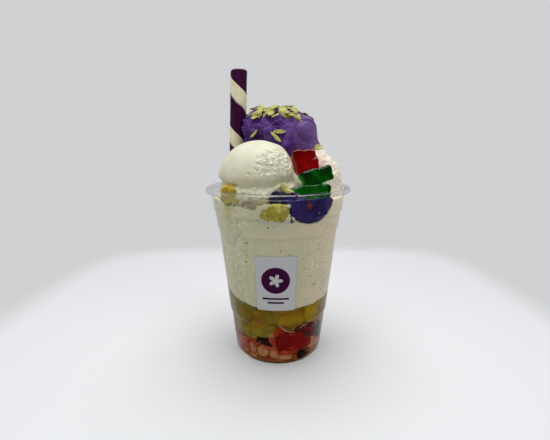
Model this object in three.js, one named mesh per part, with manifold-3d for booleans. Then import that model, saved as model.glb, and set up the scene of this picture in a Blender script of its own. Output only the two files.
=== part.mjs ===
// Halo-halo in a clear plastic cup: layers of beans, jelly and fruit in syrup, milky shaved
// ice, three scoops of ice cream, cut jellies, purple yam jam and a rolled wafer stick.
// Millimetres, +Z up. The origin is the centre of the cup's foot; the front faces -Y.
import * as THREE from "three";
import { RoundedBoxGeometry } from "three/addons/geometries/RoundedBoxGeometry.js";
import { mergeVertices } from "three/addons/utils/BufferGeometryUtils.js";
import Module from "manifold-3d";

const wasm = await Module();
wasm.setup();

// ---------------------------------------------------------------- driving dimensions
const GAP = 0.3; // clearance between neighbouring pieces
const SIDES = 36; // facets round the cup and everything that fills it

const CUP_HEIGHT = 118.3;
const LIP_RADIUS = 49;
const LIP_CURL = 2.15; // radius of the curled lip's section
const WALL = 0.6;
const FLOOR = 0.6;
const FOOT_RADIUS = 29.4; // of the flat underside
const FOOT_CORNER = 2.9;

// The wall's tapered bands, each a little wider than the one below.
const BANDS = [
  { low: FOOT_CORNER, lowRadius: 31.1, high: 29.6, highRadius: 33.9 },
  { low: 31.8, lowRadius: 34.8, high: 89.6, highRadius: 40.8 },
  { low: 91.2, lowRadius: 41.6, high: 101.6, highRadius: 43.0 },
  { low: 103.4, lowRadius: 43.8, high: CUP_HEIGHT - LIP_CURL, highRadius: 45.3 },
];

const LABEL = { left: -22, right: 16.5, bottom: 42.6, height: 37, thickness: 0.25 }; // degrees, mm

const BEAN_LEVEL = 24; // middle height of each layer's top
const FRUIT_LEVEL = 46.5;
const ICE_LEVEL = 113;
const ICE_HEAP = { at: [2, 9], height: 12, reach: 24 };
const ICE_DIPS = [
  { at: [-4, 44], height: -7.5, reach: 20 }, // free space at the back
  { at: [-44, 6], height: -4, reach: 15 }, // and at the left
  { at: [-17, -40], height: -5.5, reach: 10 }, // hollow under the vanilla scoop's skirt
];

const VANILLA = { centre: [-12.6, -15, 122.4], radii: [25.9, 25.9, 25.9] };
const UBE = { centre: [1.2, 10, 145.2], radii: [26.4, 25.4, 24.6] };
const STRAWBERRY = { centre: [16.4, 4, 116.2], radii: [28.4, 28, 28.6] };

const STICK = { x: -27.8, y: 15.5, radius: 5.7, bottom: 94, top: 195.3, round: 1.6 };

const JAM_LOBES = [
  { centre: [17.4, -34, 112.5], radii: [16.6, 13, 13] },
  { centre: [3, -33, 114], radii: [13, 10, 5] },
];
const JAM_TOP = 116.8;
const YELLOW_FRUIT = { size: [18, 11, 10.5], corner: 2.2, at: [-2, -41, 106.6], turn: [4, -6, 0] };
const GOLDEN_LOBES = [
  { centre: [-31.8, -30.2, 116.8], radii: [4.4, 4.6, 6] },
  { centre: [-26.6, -33.6, 117.4], radii: [4.4, 4.4, 5.2] },
];
const RED_JELLY = { size: [14.6, 11, 14.6], corner: 1.4, at: [16.6, -17.4, 133.8], turn: [-22, -12, 8] };
const GREEN_UPPER = { size: [20, 9.6, 9.4], corner: 1.6, at: [23.4, -22.4, 125.8], turn: [-8, -17, 22] };
const GREEN_LOWER = { size: [22.4, 8.6, 7.2], corner: 1.8, at: [20.6, -30.4, 118.6], turn: [-4, -2, 24] };

// ---------------------------------------------------------------- solids and meshes
/** A closed mesh, with its shared vertices merged and empty faces dropped, as a solid. */
function solidOf(geometry) {
  const bare = geometry.clone();
  bare.deleteAttribute("normal");
  bare.deleteAttribute("uv");
  const merged = mergeVertices(bare, 1e-4);
  const index = merged.index.array;
  const faces = [];
  for (let i = 0; i < index.length; i += 3) {
    const [a, b, c] = [index[i], index[i + 1], index[i + 2]];
    if (a !== b && b !== c && c !== a) faces.push(a, b, c);
  }
  const vertProperties = new Float32Array(merged.attributes.position.array);
  const triVerts = new Uint32Array(faces);
  return new wasm.Manifold(new wasm.Mesh({ numProp: 3, vertProperties, triVerts }));
}

/** The largest body of a cut solid: crumbs that a cut leaves over are dropped. */
function mainBody(solid) {
  const bodies = solid.decompose();
  return bodies.reduce((best, body) => (body.volume() > best.volume() ? body : best));
}

function geometryOf(solid) {
  const mesh = solid.getMesh();
  const geometry = new THREE.BufferGeometry();
  geometry.setAttribute("position", new THREE.BufferAttribute(mesh.vertProperties, 3));
  geometry.setIndex(new THREE.BufferAttribute(mesh.triVerts, 1));
  return geometry;
}

/** A named mesh whose own origin is at the given place. */
function piece(name, geometry, material, at = [0, 0, 0]) {
  const local = geometry.clone().translate(-at[0], -at[1], -at[2]);
  local.computeVertexNormals();
  const mesh = new THREE.Mesh(local, material);
  mesh.name = name;
  mesh.position.set(...at);
  return mesh;
}

function material(colour, roughness, extra = {}) {
  return new THREE.MeshStandardMaterial({ color: colour, roughness, metalness: 0, ...extra });
}

/** A profile of [radius, height] points turned about the Z axis. */
function turned(profile) {
  const points = profile.map(([radius, height]) => new THREE.Vector2(radius, height));
  return new THREE.LatheGeometry(points, SIDES).rotateX(Math.PI / 2);
}

/** Moves each vertex of a geometry to where the function puts it. */
function reshape(geometry, move) {
  const position = geometry.attributes.position;
  const point = new THREE.Vector3();
  for (let i = 0; i < position.count; i += 1) {
    point.fromBufferAttribute(position, i);
    move(point);
    position.setXYZ(i, point.x, point.y, point.z);
  }
  return geometry;
}

/** Smooth lumps between about -1 and 1, with the given wavelength. */
function lumps(x, y, z, wavelength, seed) {
  const k = (2 * Math.PI) / wavelength;
  const a = Math.sin(k * (x + 0.31 * y) + seed) * Math.cos(k * (0.83 * y - 0.4 * z) + 2.1 * seed);
  const b = Math.sin(k * (z + 0.47 * x) + 1.7 * seed) * Math.cos(k * (0.91 * x - 0.5 * y) + 0.6 * seed);
  return a * 0.6 + b * 0.6;
}

// ---------------------------------------------------------------- cup
/** Points up the outside of the wall from the foot's corner, moved out by `offset`. */
function wallLine(offset) {
  return BANDS.flatMap((band) => [
    [band.lowRadius + offset, band.low],
    [band.highRadius + offset, band.high],
  ]);
}

function wallRadius(z) {
  const line = wallLine(0);
  const above = line.findIndex(([, height]) => height >= z);
  const [r1, z1] = line[above];
  const [r0, z0] = line[above - 1];
  return r0 + ((r1 - r0) * (z - z0)) / (z1 - z0);
}

/** An arc of the lip's curl, in even steps between two angles in degrees. */
function lipArc(radius, from, to, steps) {
  return Array.from({ length: steps + 1 }, (_, i) => {
    const angle = THREE.MathUtils.degToRad(from + ((to - from) * i) / steps);
    return [
      LIP_RADIUS - LIP_CURL + radius * Math.cos(angle),
      CUP_HEIGHT - LIP_CURL + radius * Math.sin(angle),
    ];
  });
}

function cupGeometry() {
  const curlEnd = -40;
  const outside = [[0, 0], [FOOT_RADIUS, 0], [FOOT_RADIUS + 1.2, 0.9], ...wallLine(0).slice(0, -1)];
  const under = lipArc(LIP_CURL - WALL, 180, curlEnd, 5);
  const over = lipArc(LIP_CURL, curlEnd, 180, 5);
  const inside = [...wallLine(-WALL).slice(0, -1).reverse(), [FOOT_RADIUS, FLOOR], [0, FLOOR]];
  return turned([...outside, ...under, ...over, ...inside]);
}

/** What the contents may fill: the cup's inside, and the open space over its lip. */
function insideOfCup() {
  const reach = -WALL - GAP;
  const lipInside = LIP_RADIUS - 2 * LIP_CURL - GAP;
  const overLip = CUP_HEIGHT + 2 * GAP;
  const opening = [[lipInside, overLip], [lipInside + 26, overLip + 26], [lipInside + 26, 220], [0, 220]];
  const floor = FLOOR + GAP;
  return solidOf(turned([[0, floor], [FOOT_RADIUS - GAP, floor], ...wallLine(reach), ...opening]));
}

/** A paper label that wraps the front of the wall, a hair clear of it. */
function labelGeometry() {
  const columns = 10;
  const height = LABEL.height;
  const sheet = new THREE.BoxGeometry(1, 1, 1, columns, 1, 1);
  return reshape(sheet, (p) => {
    const angle = THREE.MathUtils.degToRad(LABEL.left + (p.x + 0.5) * (LABEL.right - LABEL.left));
    const z = LABEL.bottom + (p.y + 0.5) * height;
    const radius = wallRadius(z) + GAP + (p.z + 0.5) * LABEL.thickness;
    p.set(radius * Math.sin(angle), -radius * Math.cos(angle), z);
  });
}

// ---------------------------------------------------------------- layers
function smoothBump(x, centre, width) {
  return Math.exp(-(((x - centre) / width) ** 2));
}

function beanTop(x, y) {
  return BEAN_LEVEL + 2.6 * lumps(x, y, 0, 34, 0.8);
}

/** Lower at the front, with a steep rise at the left where the syrup has crept up. */
function fruitTop(x, y) {
  const radius = Math.hypot(x, y);
  const azimuth = THREE.MathUtils.radToDeg(Math.atan2(x, -y));
  const lean = Math.min(1, radius / 34);
  const tilt = -4.6 * lean * Math.cos(THREE.MathUtils.degToRad(azimuth - 8));
  return FRUIT_LEVEL + tilt + 5.4 * lean * smoothBump(azimuth, -84, 24) + 0.5 * lumps(x, y, 0, 21, 2.2);
}

/** Level near the wall, heaped under the scoops and lower where it has sunk. */
function iceTop(x, y) {
  const mounds = [ICE_HEAP, ...ICE_DIPS].map(
    ({ at, height, reach }) => height * smoothBump(Math.hypot(x - at[0], y - at[1]), 0, reach),
  );
  return mounds.reduce((sum, mound) => sum + mound, ICE_LEVEL) + 0.7 * lumps(x, y, 0, 17, 1.3);
}

/** Everything above an uneven surface. */
function above(heightAt, lift = 0) {
  const reach = 100;
  const rings = 8;
  const floor = Array.from({ length: rings + 1 }, (_, i) => [(reach * i) / rings, 0]);
  const slab = turned([...floor, [reach, 250], [0, 250]]);
  return solidOf(
    reshape(slab, (p) => {
      if (p.z < 1) p.z = heightAt(p.x, p.y) + lift;
    }),
  );
}

// ---------------------------------------------------------------- scoops and lumps
/** A lumpy ball of unequal radii; `detail(unit, point)` adds to its radius. */
function lump({ centre, radii }, grow, faces, detail) {
  const ball = new THREE.IcosahedronGeometry(1, faces);
  return solidOf(
    reshape(ball, (p) => {
      const unit = p.clone().normalize();
      const extra = grow + detail(unit);
      p.set(
        centre[0] + unit.x * (radii[0] + extra),
        centre[1] + unit.y * (radii[1] + extra),
        centre[2] + unit.z * (radii[2] + extra),
      );
    }),
  );
}

/** A ball from an ice cream scoop: a hollow band, then a ragged skirt round its foot. */
function scoop(ball, grow, look) {
  const rough = new THREE.Vector3(...look.roughSide).normalize();
  return lump(ball, grow, look.detail, (unit) => {
    const height = THREE.MathUtils.radToDeg(Math.asin(unit.z));
    const round = Math.atan2(unit.y, unit.x);
    const ragged = 1 + 0.45 * Math.sin(9 * round + look.seed) * Math.sin(4 * round + 2 * look.seed);
    const skirt = look.skirt * smoothBump(height, look.skirtAt, 7) * ragged;
    const band = -0.6 * look.skirt * smoothBump(height, look.skirtAt + 13, 8);
    const side = 0.25 + 0.75 * Math.max(0, unit.dot(rough));
    const p = unit.clone().multiplyScalar(ball.radii[0]);
    return skirt + band + look.roughness * side * lumps(p.x, p.y, p.z, look.wavelength, look.seed);
  });
}

const vanillaBall = (grow = 0) =>
  scoop(VANILLA, grow, {
    roughSide: [0.8, -0.6, 0], roughness: 0.7, wavelength: 15, seed: 1.1, skirt: 1.5, skirtAt: -20,
    detail: 5,
  });
const ubeBall = (grow = 0) =>
  scoop(UBE, grow, {
    roughSide: [-0.7, -0.7, 0.2], roughness: 1.3, wavelength: 13, seed: 2.6, skirt: 1.2, skirtAt: -30,
    detail: 5,
  });
const strawberryBall = (grow = 0) =>
  scoop(STRAWBERRY, grow, {
    roughSide: [0.6, -0.6, 0.5], roughness: 0.8, wavelength: 14, seed: 4.2, skirt: 0.8, skirtAt: -5,
    detail: 4,
  });

function lobes(list, grow, faces, seed) {
  const parts = list.map((lobe) =>
    lump(lobe, grow, faces, (unit) => {
      const [x, y, z] = [unit.x * lobe.radii[0], unit.y * lobe.radii[1], unit.z * lobe.radii[2]];
      return 0.35 * lumps(x, y, z, 9, seed);
    }),
  );
  return parts.reduce((whole, part) => whole.add(part));
}

const jamLump = (grow = 0) => lobes(JAM_LOBES, grow, 3, 3.3);
const goldenLump = (grow = 0) => lobes(GOLDEN_LOBES, grow, 2, 5.1);

/** A cut block with soft corners, slightly wavy, set at its place and turn (degrees). */
function block({ size, corner, at, turn }, grow = 0) {
  const [width, depth, height] = size.map((length) => length + 2 * grow);
  const box = new RoundedBoxGeometry(width, depth, height, 1, corner + grow);
  reshape(box, (p) => {
    const along = p.x / width;
    p.z += 0.05 * height * Math.sin(5 * along + at[0]);
    p.y += 0.06 * depth * Math.cos(4 * along + at[1]);
    p.z *= 1 - 0.12 * along;
  });
  const [tiltX, tiltY, tiltZ] = turn.map(THREE.MathUtils.degToRad);
  box.applyMatrix4(new THREE.Matrix4().makeRotationFromEuler(new THREE.Euler(tiltX, tiltY, tiltZ)));
  return solidOf(box.translate(...at));
}

/** The rolled wafer stick, with rounded rims. */
function stickSolid(grow = 0) {
  const { radius, bottom, top, round } = STICK;
  const r = radius + grow;
  const profile = [
    [0, bottom - grow], [r - round / 2, bottom - grow], [r, bottom - grow + round / 2],
    [r, top + grow - round], [r - 0.3 * round, top + grow - 0.3 * round], [r - round, top + grow],
    [0, top + grow],
  ];
  const points = profile.map(([x, y]) => new THREE.Vector2(x, y));
  const rod = new THREE.LatheGeometry(points, 20).rotateX(Math.PI / 2);
  return solidOf(rod.translate(STICK.x, STICK.y, 0));
}

// ---------------------------------------------------------------- fitting pieces together
const inside = insideOfCup();
const keep = (solid, ...others) => mainBody(others.reduce((left, other) => left.subtract(other), solid));

const stick = stickSolid();
const redJelly = block(RED_JELLY);
const greenUpper = keep(block(GREEN_UPPER), block(RED_JELLY, GAP));
const greenLower = keep(block(GREEN_LOWER).intersect(inside), block(GREEN_UPPER, GAP));
const yellowFruit = mainBody(block(YELLOW_FRUIT).intersect(inside));
const goldenFruit = mainBody(goldenLump().intersect(inside));

const smallPieces = [
  stickSolid(GAP), block(RED_JELLY, GAP), block(GREEN_UPPER, GAP), block(GREEN_LOWER, GAP),
  block(YELLOW_FRUIT, GAP), goldenLump(GAP),
];
const vanilla = keep(vanillaBall().intersect(inside), ...smallPieces);
const strawberry = keep(strawberryBall().intersect(inside), ...smallPieces, vanillaBall(GAP));
const ube = keep(ubeBall(), ...smallPieces, vanillaBall(GAP), strawberryBall(GAP));
const scoops = [vanillaBall(GAP), strawberryBall(GAP), ubeBall(GAP)];
const jam = keep(jamLump().intersect(inside), above(() => JAM_TOP), ...smallPieces, ...scoops);

const beanLayer = mainBody(inside.subtract(above(beanTop)));
const fruitLayer = keep(inside.intersect(above(beanTop, GAP)), above(fruitTop));
const iceBody = inside.intersect(above(fruitTop, GAP)).subtract(above(iceTop));
const milkIce = keep(iceBody, ...smallPieces, ...scoops, jamLump(GAP));

// ---------------------------------------------------------------- materials
const clearPlastic = material("#eef4f6", 0.05, { transparent: true, opacity: 0.25 });
const labelPaper = material("#f1f2f5", 0.5);
const syrupAndBeans = material("#8a3a24", 0.25);
const syrupAndFruit = material("#8d7a2c", 0.25);
const milkyIce = material("#d9d5bd", 0.6);
const vanillaCream = material("#f0ecd9", 0.6);
const ubeCream = material("#6f52a6", 0.55);
const strawberryCream = material("#eed9d2", 0.6);
const ubeJam = material("#2e2468", 0.3);
const yellowFlesh = material("#d8cf74", 0.35);
const goldenFlesh = material("#d9a02c", 0.3);
const redGel = material("#9c0a0a", 0.12);
const greenGel = material("#0f6b12", 0.12);
const wafer = material("#4f1750", 0.7);

// ---------------------------------------------------------------- assembly
const cup = new THREE.Group();
cup.add(piece("cup", cupGeometry(), clearPlastic));
cup.add(piece("label", labelGeometry(), labelPaper));

const filling = new THREE.Group();
filling.add(piece("bean_jelly_layer", geometryOf(beanLayer), syrupAndBeans, [0, 0, FLOOR]));
filling.add(piece("fruit_layer", geometryOf(fruitLayer), syrupAndFruit, [0, 0, BEAN_LEVEL]));
filling.add(piece("milk_ice", geometryOf(milkIce), milkyIce, [0, 0, FRUIT_LEVEL]));
filling.add(piece("ube_jam", geometryOf(jam), ubeJam, JAM_LOBES[0].centre));
filling.add(piece("yellow_fruit", geometryOf(yellowFruit), yellowFlesh, YELLOW_FRUIT.at));
filling.add(piece("golden_fruit", geometryOf(goldenFruit), goldenFlesh, GOLDEN_LOBES[0].centre));

const topping = new THREE.Group();
topping.add(piece("vanilla_scoop", geometryOf(vanilla), vanillaCream, VANILLA.centre));
topping.add(piece("ube_scoop", geometryOf(ube), ubeCream, UBE.centre));
topping.add(piece("strawberry_scoop", geometryOf(strawberry), strawberryCream, STRAWBERRY.centre));
topping.add(piece("red_jelly", geometryOf(redJelly), redGel, RED_JELLY.at));
topping.add(piece("green_jelly_upper", geometryOf(greenUpper), greenGel, GREEN_UPPER.at));
topping.add(piece("green_jelly_lower", geometryOf(greenLower), greenGel, GREEN_LOWER.at));
topping.add(piece("wafer_stick", geometryOf(stick), wafer, [STICK.x, STICK.y, STICK.bottom]));

const haloHalo = new THREE.Group();
haloHalo.add(cup, filling, topping);

export default haloHalo;
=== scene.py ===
"""The looks of a halo-halo in a clear plastic cup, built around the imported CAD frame.

Metres, +Z up, the front faces -Y. Every piece takes its place from the CAD node that it
stands for, and what fills the cup reaches a hair into its wall. Azimuths are in degrees from
the front, positive to the right.
"""
import math
import random

import bmesh
import bpy
import numpy as np
from mathutils import Matrix, Vector, noise
from mathutils.bvhtree import BVHTree


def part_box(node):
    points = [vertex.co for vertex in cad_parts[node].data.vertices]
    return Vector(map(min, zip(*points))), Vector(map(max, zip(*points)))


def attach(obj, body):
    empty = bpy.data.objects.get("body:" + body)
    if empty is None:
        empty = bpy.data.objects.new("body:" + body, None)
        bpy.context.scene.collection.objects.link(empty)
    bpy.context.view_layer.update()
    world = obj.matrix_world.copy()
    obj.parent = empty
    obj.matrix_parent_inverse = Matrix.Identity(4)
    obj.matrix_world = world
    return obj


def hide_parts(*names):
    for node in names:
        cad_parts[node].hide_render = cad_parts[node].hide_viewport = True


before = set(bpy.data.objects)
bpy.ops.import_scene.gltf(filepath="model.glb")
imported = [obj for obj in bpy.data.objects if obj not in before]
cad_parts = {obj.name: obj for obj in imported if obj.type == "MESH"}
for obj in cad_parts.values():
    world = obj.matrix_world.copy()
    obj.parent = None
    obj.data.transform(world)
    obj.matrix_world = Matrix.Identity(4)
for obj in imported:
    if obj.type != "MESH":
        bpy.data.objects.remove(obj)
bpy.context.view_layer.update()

MM = 0.001
UP = Vector((0, 0, 1))
INTO_WALL = 0.12 * MM  # how far the contents reach into the cup's wall
HALF_GAP = 0.17 * MM  # grown on each face, to close the gaps between CAD solids


# ---------------------------------------------------------------- objects and meshes
def add_object(name, data, material=None):
    """Puts a mesh, a light or a camera in the scene."""
    obj = bpy.data.objects.new(name, data)
    bpy.context.scene.collection.objects.link(obj)
    if material:
        data.materials.clear()
        data.materials.append(material)
    return obj


def shade_smooth(mesh, smooth=True):
    mesh.polygons.foreach_set("use_smooth", [smooth] * len(mesh.polygons))


def mesh_object(name, points, faces, material, smooth=True):
    mesh = bpy.data.meshes.new(name)
    mesh.from_pydata([tuple(p) for p in points], [], [tuple(f) for f in faces])
    shade_smooth(mesh, smooth)
    mesh.update()
    return add_object(name, mesh, material)


def settle(obj, slot, *nodes):
    """The piece rides with the cup and stands for the named CAD nodes."""
    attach(obj, "root")
    if nodes:
        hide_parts(*nodes)
    return obj


def vectors_of(mesh, what="co"):
    """Every vertex's place, or its "normal", in rows of three."""
    flat = np.empty(len(mesh.vertices) * 3, np.float32)
    mesh.vertices.foreach_get(what, flat)
    return flat.reshape(-1, 3).astype(float)


def soften(obj, passes):
    """Rounds the surface, and applies this and the object's other modifiers."""
    modifier = obj.modifiers.new("soften", "SMOOTH")
    modifier.factor = 0.5
    modifier.iterations = passes
    graph = bpy.context.evaluated_depsgraph_get()
    graph.update()
    old = obj.data
    obj.data = bpy.data.meshes.new_from_object(obj.evaluated_get(graph))
    obj.modifiers.clear()
    bpy.data.meshes.remove(old)
    shade_smooth(obj.data)
    return obj


def fine_copy(name, node, material, voxel, rounding):
    """A CAD node's form with an even, fine and rounded surface."""
    obj = add_object(name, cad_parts[node].data.copy(), material)
    remesh = obj.modifiers.new("remesh", "REMESH")
    remesh.mode = "VOXEL"
    remesh.voxel_size = voxel
    return soften(obj, rounding)


def move_points(obj, move):
    """Moves every vertex by move(point, normal), which returns its new place."""
    mesh = obj.data
    pairs = zip(vectors_of(mesh), vectors_of(mesh, "normal"))
    moved = [move(Vector(p), Vector(n)) for p, n in pairs]
    mesh.vertices.foreach_set("co", np.asarray(moved, np.float32).ravel())
    mesh.update()
    return obj


def tree_of(obj):
    return BVHTree.FromObject(obj, bpy.context.evaluated_depsgraph_get())


def scaled(p, size):
    return Vector((p.x * size[0], p.y * size[1], p.z * size[2]))


def joined(name, parts, material, slot):
    """Many small (points, faces) meshes as one piece."""
    points, faces = [], []
    for part_points, part_faces in parts:
        start = len(points)
        points.extend(part_points)
        faces.extend([[start + i for i in face] for face in part_faces])
    return settle(mesh_object(name, points, faces, material), slot)


def tube_faces(rings, sides):
    """Quads between rings of points that follow one another."""
    faces = []
    for r in range(rings - 1):
        for s in range(sides):
            n = (s + 1) % sides
            faces.append((r * sides + s, r * sides + n, (r + 1) * sides + n, (r + 1) * sides + s))
    return faces


def lathe(name, profile, sides, material):
    """Turns a profile of (radius, height) that starts and ends on the axis."""
    points = []
    rings = profile[1:-1]
    for radius, height in rings:
        for s in range(sides):
            a = 2 * math.pi * s / sides
            points.append((radius * math.sin(a), -radius * math.cos(a), height))
    faces = tube_faces(len(rings), sides)
    first, last = len(points), len(points) + 1
    points += [(0, 0, profile[0][1]), (0, 0, profile[-1][1])]
    top = (len(rings) - 1) * sides
    for s in range(sides):
        n = (s + 1) % sides
        faces.append((first, n, s))
        faces.append((last, top + s, top + n))
    return mesh_object(name, points, faces, material)


# ---------------------------------------------------------------- relief
def fbm(p, size, octaves=3, seed=0.0):
    """Smooth fractal noise, about -1 to 1, whose largest features are `size` across."""
    q = Vector(p) / size + Vector((seed * 7.3, seed * 3.1, seed * 5.7))
    return noise.fractal(q, 1.0, 2.0, octaves) * 1.4


def pebbles(p, size, seed=0.0):
    """Rounded lumps with creases between them, 0 in a crease to about 1 on a lump."""
    q = Vector(p) / size + Vector((seed * 2.9, seed * 8.3, seed * 4.7))
    near = noise.voronoi(q)[0]
    return min(1.0, (near[1] - near[0]) * 2.2) * (1 - 0.35 * near[0])


def ease(x, low, high):
    """0 up to `low`, 1 from `high` on, and smooth between."""
    t = min(1.0, max(0.0, (x - low) / (high - low)))
    return t * t * (3 - 2 * t)


def hump(x, centre, width):
    """1 at the centre, fading smoothly to both sides."""
    return math.exp(-(((x - centre) / width) ** 2))


# ---------------------------------------------------------------- the cup's section
def section_of(node):
    """A turned node's half section, from the axis at its foot round to the axis again."""
    near = 2e-6
    cut = bmesh.new()
    cut.from_mesh(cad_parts[node].data)
    bmesh.ops.remove_doubles(cut, verts=cut.verts, dist=near / 2)
    for normal, halve in (((0, 1, 0), True), ((1, 0, 0), False)):
        everything = cut.verts[:] + cut.edges[:] + cut.faces[:]
        bmesh.ops.bisect_plane(
            cut, geom=everything, dist=near / 2, plane_co=(0, 0, 0), plane_no=normal,
            clear_outer=halve,
        )
    links = {}
    for edge in cut.edges:
        a, b = edge.verts
        if abs(a.co.x) < near and abs(b.co.x) < near and min(a.co.y, b.co.y) < -near:
            links.setdefault(a, []).append(b)
            links.setdefault(b, []).append(a)
    here = min((v for v in links if abs(v.co.y) < near), key=lambda v: v.co.z)
    path, before = [here], None
    while True:
        onward = [v for v in links[here] if v is not before and v not in path]
        if not onward:
            break
        before, here = here, onward[0]
        path.append(here)
    section = [(-v.co.y, v.co.z) for v in path]
    cut.free()
    return section


def spaced(line, step):
    """The line with points every `step`, keeping its ends."""
    out = [line[0]]
    for (r0, z0), (r1, z1) in zip(line, line[1:]):
        length = math.hypot(r1 - r0, z1 - z0)
        count = max(1, round(length / step))
        for i in range(1, count + 1):
            out.append((r0 + (r1 - r0) * i / count, z0 + (z1 - z0) * i / count))
    return out


def rounded(line, passes):
    """The line with its corners rounded: each pass averages neighbours."""
    for _ in range(passes):
        inner = [
            ((a[0] + 2 * b[0] + c[0]) / 4, (a[1] + 2 * b[1] + c[1]) / 4)
            for a, b, c in zip(line, line[1:], line[2:])
        ]
        line = [line[0]] + inner + [line[-1]]
    return line


BEADS = (91.6, 103.6)  # heights in mm of the moulded beads at the wall's two upper steps
GROOVES = (89.4, 101.3)  # and of the grooves below them
WALL_FROM = 35 * MM  # the wall's radius at those steps is more than this

cup_section = rounded(spaced(section_of("cup"), 0.4 * MM), 3)
lip_at = max(range(len(cup_section)), key=lambda i: cup_section[i][1])
for at, (r, z) in enumerate(cup_section):
    bead = sum(0.28 * hump(z, ring * MM, 0.55 * MM) for ring in BEADS)
    groove = sum(0.22 * hump(z, ring * MM, 0.6 * MM) for ring in GROOVES)
    if r > WALL_FROM:
        cup_section[at] = (r + (bead - groove) * MM, z)
outer_line = cup_section[:lip_at]
inner_line = cup_section[lip_at:][::-1]
CUP_TOP = cup_section[lip_at][1]
CUP_RADIUS = max(r for r, _ in cup_section)


WALL_TOP = CUP_TOP - 2.6 * MM
FLOOR_TOP = inner_line[0][1]


def radius_along(line):
    """Gives the radius at a height, along one side of the wall."""
    wall = sorted((z, r) for r, z in line if r > 0.6 * CUP_RADIUS and 0 < z < WALL_TOP)
    heights, radii = np.array(wall).T
    return lambda z: float(np.interp(z, heights, radii))


inner_radius, outer_radius = radius_along(inner_line), radius_along(outer_line)


def at_radius(p, radius):
    """The point moved level, in or out, to that radius."""
    r = math.hypot(p.x, p.y)
    return Vector((p.x * radius / r, p.y * radius / r, p.z))


def press_to_wall(p, reach=0.65 * MM):
    """A point that lies close to the wall, or past it, is put just inside it."""
    if p.z > CUP_TOP:
        return p
    limit = inner_radius(p.z) + INTO_WALL
    if p.z > WALL_TOP:
        limit = inner_radius(WALL_TOP) - 0.1 * MM
    r = math.hypot(p.x, p.y)
    if r > limit or (r > limit - reach and p.z < WALL_TOP):
        return at_radius(p, limit)
    return p


def on_wall(azimuth, z, depth):
    """A point `depth` in from the cup's inner wall."""
    a = math.radians(azimuth)
    r = inner_radius(z) - depth
    return Vector((r * math.sin(a), -r * math.cos(a), z))


def facing(azimuth, spin=0.0):
    """Turns a piece's own -Y to face out of the wall there, spun by `spin` radians."""
    return Matrix.Rotation(math.radians(azimuth), 3, "Z") @ Matrix.Rotation(spin, 3, "Y")


# ---------------------------------------------------------------- shaders
class Nodes:
    """A node tree, and short calls for the nodes used here."""

    def __init__(self, tree):
        self.tree = tree

    def feed(self, socket, value):
        """A node's output is linked to the socket, a constant is set on it."""
        if isinstance(value, bpy.types.NodeSocket):
            self.tree.links.new(value, socket)
        else:
            socket.default_value = (*value, 1) if socket.type == "RGBA" else value

    def node(self, kind, inputs=(), **settings):
        made = self.tree.nodes.new(kind)
        for key, value in settings.items():
            setattr(made, key, value)
        for key, value in dict(inputs).items():
            self.feed(made.inputs[key], value)
        return made

    def ramp(self, value, low, high, to_low=0.0, to_high=1.0):
        inputs = {0: value, 1: low, 2: high, 3: to_low, 4: to_high}
        return self.node("ShaderNodeMapRange", inputs, interpolation_type="SMOOTHSTEP").outputs[0]

    def blend(self, factor, first, second):
        return self.node("ShaderNodeMixShader", {0: factor, 1: first, 2: second}).outputs[0]


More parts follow.
